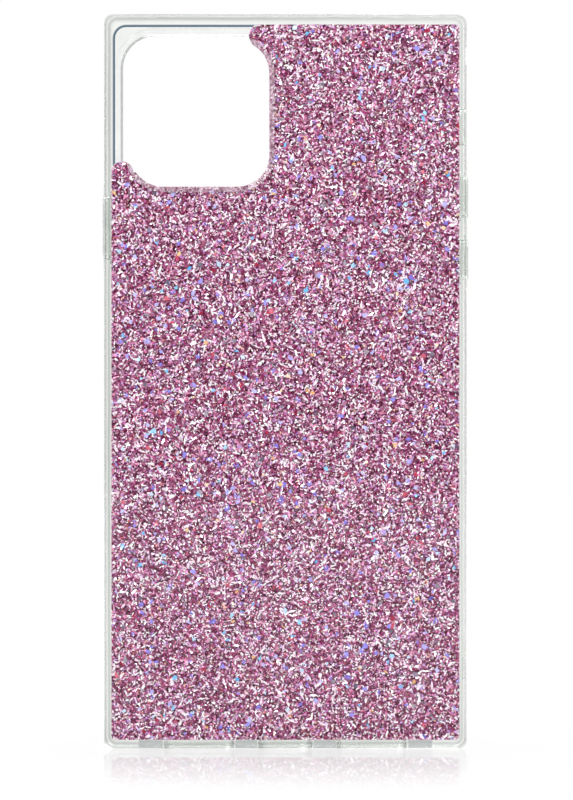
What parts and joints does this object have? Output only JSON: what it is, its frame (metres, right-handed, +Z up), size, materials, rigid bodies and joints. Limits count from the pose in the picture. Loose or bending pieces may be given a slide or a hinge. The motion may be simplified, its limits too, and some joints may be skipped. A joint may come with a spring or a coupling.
{
  "type": "phone case",
  "caption": "Clear square-cornered phone case with a glitter back panel, a camera cut-out and sprung side keys.",
  "frame": {"origin": "middle of the bottom edge that the case stands on", "axes": "+Z up the height of the case, +X to the right seen from behind the case, +Y from the glitter back to the open front"},
  "size_m": [0.0844, 0.0116, 0.169],
  "materials": {
    "clear_bumper": "clear soft plastic with a faint green-grey tint",
    "clear_plate": "clear hard gloss plastic",
    "adhesive": "clear transfer adhesive",
    "rose_film": "dark rose metallised film",
    "glitter": "cut foil chips in pinks, mauves and silver, with larger iridescent flakes"
  },
  "bodies": {
    "case_body": {"bumper_frame": "clear_bumper", "back_plate": "clear_plate", "adhesive_sheet": "adhesive", "backing_film": "rose_film", "glitter_layer": "glitter", "clear_cover": "clear_plate"},
    "power_key": {"power_button": "clear_bumper"},
    "volume_up_key": {"volume_up_button": "clear_bumper"},
    "volume_down_key": {"volume_down_button": "clear_bumper"}
  },
  "joints": [
    {"name": "power_press", "type": "slide", "parent": "case_body", "child": "power_key", "axis": [1, 0, 0], "range_m": [0, 0.0005], "stiffness_N_per_m": 1500},
    {"name": "volume_up_press", "type": "slide", "parent": "case_body", "child": "volume_up_key", "axis": [-1, 0, 0], "range_m": [0, 0.0005], "stiffness_N_per_m": 1500},
    {"name": "volume_down_press", "type": "slide", "parent": "case_body", "child": "volume_down_key", "axis": [-1, 0, 0], "range_m": [0, 0.0005], "stiffness_N_per_m": 1500}
  ]
}
